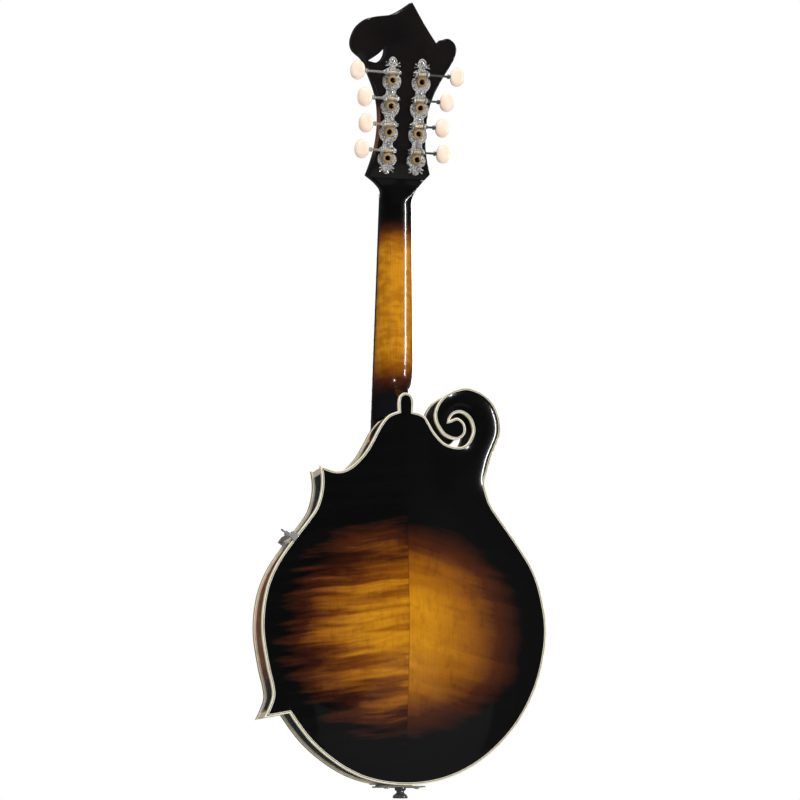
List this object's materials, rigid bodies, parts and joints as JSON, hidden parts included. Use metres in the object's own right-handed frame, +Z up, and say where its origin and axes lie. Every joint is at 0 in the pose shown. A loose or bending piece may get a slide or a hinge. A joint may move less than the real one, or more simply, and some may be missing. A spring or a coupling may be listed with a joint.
{
  "type": "F-style mandolin",
  "caption": "Carved hollow-body mandolin with a scroll and two points, arched plates, tilted headstock with geared tuners, floating bridge and covered tailpiece.",
  "frame": {"origin": "centre of the strap button's flat end, the instrument's lowest point", "axes": "+Z up along the neck towards the headstock tip, +Y out of the string side, -Y out of the carved back, +X to the scroll (bass) side"},
  "size_m": [0.2543, 0.0849, 0.7082],
  "materials": {
    "top_wood": "high gloss sunburst spruce",
    "back_wood": "high gloss sunburst flamed maple, black at the edge",
    "rib_wood": "high gloss dark maple",
    "inner_wood": "bare wood",
    "neck_wood": "high gloss shaded maple",
    "ivoroid": "gloss ivory plastic",
    "bone": "polished bone",
    "steel": "plain steel",
    "black_face": "gloss black",
    "ebony": "satin oiled ebony",
    "brass": "polished brass",
    "gear_brass": "machined brass",
    "nickel": "polished nickel plate",
    "dark_chrome": "dark polished chrome",
    "pearloid": "gloss pearl plastic",
    "string_wire": "bronze wound wire"
  },
  "bodies": {
    "root": {"top_plate": "top_wood", "back_plate": "back_wood", "top_binding": "ivoroid", "back_binding": "ivoroid", "rib_upper_treble": "rib_wood", "rib_treble_waist": "rib_wood", "rib_lower_bout": "rib_wood", "neck_block": "inner_wood", "tail_block": "inner_wood", "tone_bar_bass": "inner_wood", "tone_bar_treble": "inner_wood", "neck": "neck_wood", "truss_rod": "steel", "headstock_veneer": "black_face", "truss_rod_cover": "black_face", "pickguard": "black_face", "fingerboard": "ebony", "bridge_base": "ebony", "nut": "bone", "tailpiece_base": "nickel", "pickguard_clamp": "nickel", "tuner_plate_bass": "nickel", "tuner_plate_treble": "nickel", "strap_button": "dark_chrome", "string_g_1": "string_wire", "string_g_2": "string_wire", "string_d_1": "string_wire", "string_d_2": "string_wire", "string_a_1": "string_wire", "string_a_2": "string_wire", "string_e_1": "string_wire", "string_e_2": "string_wire"},
    "post_bass_1": {"string_post_bass_1": "gear_brass"},
    "key_bass_1": {"tuner_button_bass_1": "pearloid", "worm_shaft_bass_1": "nickel"},
    "post_bass_2": {"string_post_bass_2": "gear_brass"},
    "key_bass_2": {"tuner_button_bass_2": "pearloid", "worm_shaft_bass_2": "nickel"},
    "post_bass_3": {"string_post_bass_3": "gear_brass"},
    "key_bass_3": {"tuner_button_bass_3": "pearloid", "worm_shaft_bass_3": "nickel"},
    "post_bass_4": {"string_post_bass_4": "gear_brass"},
    "key_bass_4": {"tuner_button_bass_4": "pearloid", "worm_shaft_bass_4": "nickel"},
    "post_treble_1": {"string_post_treble_1": "gear_brass"},
    "key_treble_1": {"tuner_button_treble_1": "pearloid", "worm_shaft_treble_1": "nickel"},
    "post_treble_2": {"string_post_treble_2": "gear_brass"},
    "key_treble_2": {"tuner_button_treble_2": "pearloid", "worm_shaft_treble_2": "nickel"},
    "post_treble_3": {"string_post_treble_3": "gear_brass"},
    "key_treble_3": {"tuner_button_treble_3": "pearloid", "worm_shaft_treble_3": "nickel"},
    "post_treble_4": {"string_post_treble_4": "gear_brass"},
    "key_treble_4": {"tuner_button_treble_4": "pearloid", "worm_shaft_treble_4": "nickel"},
    "saddle": {"bridge_saddle": "ebony"},
    "wheel_bass": {"thumbwheel_bass": "brass"},
    "wheel_treble": {"thumbwheel_treble": "brass"},
    "tail_cover": {"tailpiece_cover": "nickel"}
  },
  "joints": [
    {"name": "key_spin_bass_1", "type": "hinge", "parent": "root", "child": "key_bass_1", "pos_m": [0.0136, -0.00906, 0.57477], "axis": [1, 0, 0], "continuous": true},
    {"name": "post_spin_bass_1", "type": "hinge", "parent": "root", "child": "post_bass_1", "pos_m": [0.0136, 0.00994, 0.57303], "axis": [0, 0.9659, 0.2588], "continuous": true},
    {"name": "key_spin_bass_2", "type": "hinge", "parent": "root", "child": "key_bass_2", "pos_m": [0.0136, -0.01506, 0.59718], "axis": [1, 0, 0], "continuous": true},
    {"name": "post_spin_bass_2", "type": "hinge", "parent": "root", "child": "post_bass_2", "pos_m": [0.0136, 0.00394, 0.59544], "axis": [0, 0.9659, 0.2588], "continuous": true},
    {"name": "key_spin_bass_3", "type": "hinge", "parent": "root", "child": "key_bass_3", "pos_m": [0.0136, -0.02107, 0.61959], "axis": [1, 0, 0], "continuous": true},
    {"name": "post_spin_bass_3", "type": "hinge", "parent": "root", "child": "post_bass_3", "pos_m": [0.0136, -0.00207, 0.61785], "axis": [0, 0.9659, 0.2588], "continuous": true},
    {"name": "key_spin_bass_4", "type": "hinge", "parent": "root", "child": "key_bass_4", "pos_m": [0.0136, -0.02707, 0.642], "axis": [1, 0, 0], "continuous": true},
    {"name": "post_spin_bass_4", "type": "hinge", "parent": "root", "child": "post_bass_4", "pos_m": [0.0136, -0.00807, 0.64026], "axis": [0, 0.9659, 0.2588], "continuous": true},
    {"name": "key_spin_treble_1", "type": "hinge", "parent": "root", "child": "key_treble_1", "pos_m": [-0.0136, -0.00906, 0.57477], "axis": [1, 0, 0], "continuous": true},
    {"name": "post_spin_treble_1", "type": "hinge", "parent": "root", "child": "post_treble_1", "pos_m": [-0.0136, 0.00994, 0.57303], "axis": [0, 0.9659, 0.2588], "continuous": true},
    {"name": "key_spin_treble_2", "type": "hinge", "parent": "root", "child": "key_treble_2", "pos_m": [-0.0136, -0.01506, 0.59718], "axis": [1, 0, 0], "continuous": true},
    {"name": "post_spin_treble_2", "type": "hinge", "parent": "root", "child": "post_treble_2", "pos_m": [-0.0136, 0.00394, 0.59544], "axis": [0, 0.9659, 0.2588], "continuous": true},
    {"name": "key_spin_treble_3", "type": "hinge", "parent": "root", "child": "key_treble_3", "pos_m": [-0.0136, -0.02107, 0.61959], "axis": [1, 0, 0], "continuous": true},
    {"name": "post_spin_treble_3", "type": "hinge", "parent": "root", "child": "post_treble_3", "pos_m": [-0.0136, -0.00207, 0.61785], "axis": [0, 0.9659, 0.2588], "continuous": true},
    {"name": "key_spin_treble_4", "type": "hinge", "parent": "root", "child": "key_treble_4", "pos_m": [-0.0136, -0.02707, 0.642], "axis": [1, 0, 0], "continuous": true},
    {"name": "post_spin_treble_4", "type": "hinge", "parent": "root", "child": "post_treble_4", "pos_m": [-0.0136, -0.00807, 0.64026], "axis": [0, 0.9659, 0.2588], "continuous": true},
    {"name": "saddle_lift", "type": "slide", "parent": "root", "child": "saddle", "axis": [0, 1, 0], "range_m": [-0.0015, 0.0015], "deforming": ["string_g_1", "string_g_2", "string_d_1", "string_d_2", "string_a_1", "string_a_2", "string_e_1", "string_e_2"]},
    {"name": "thumbwheel_spin_bass", "type": "hinge", "parent": "saddle", "child": "wheel_bass", "pos_m": [0.03, 0.037, 0.187], "axis": [0, 1, 0], "range_deg": [-700, 700]},
    {"name": "thumbwheel_spin_treble", "type": "hinge", "parent": "saddle", "child": "wheel_treble", "pos_m": [-0.03, 0.037, 0.187], "axis": [0, 1, 0], "range_deg": [-700, 700]},
    {"name": "tail_cover_slide", "type": "slide", "parent": "root", "child": "tail_cover", "axis": [0, -0.0785, -0.9969], "range_m": [0, 0.07]}
  ],
  "couplings": [
    {"joint": "post_spin_bass_1", "follows": "key_spin_bass_1", "ratio": -0.0625},
    {"joint": "post_spin_bass_2", "follows": "key_spin_bass_2", "ratio": -0.0625},
    {"joint": "post_spin_bass_3", "follows": "key_spin_bass_3", "ratio": -0.0625},
    {"joint": "post_spin_bass_4", "follows": "key_spin_bass_4", "ratio": -0.0625},
    {"joint": "post_spin_treble_1", "follows": "key_spin_treble_1", "ratio": -0.0625},
    {"joint": "post_spin_treble_2", "follows": "key_spin_treble_2", "ratio": -0.0625},
    {"joint": "post_spin_treble_3", "follows": "key_spin_treble_3", "ratio": -0.0625},
    {"joint": "post_spin_treble_4", "follows": "key_spin_treble_4", "ratio": -0.0625},
    {"joint": "thumbwheel_spin_bass", "follows": "saddle_lift", "rad_per_m": 7854},
    {"joint": "thumbwheel_spin_treble", "follows": "saddle_lift", "rad_per_m": 7854}
  ]
}
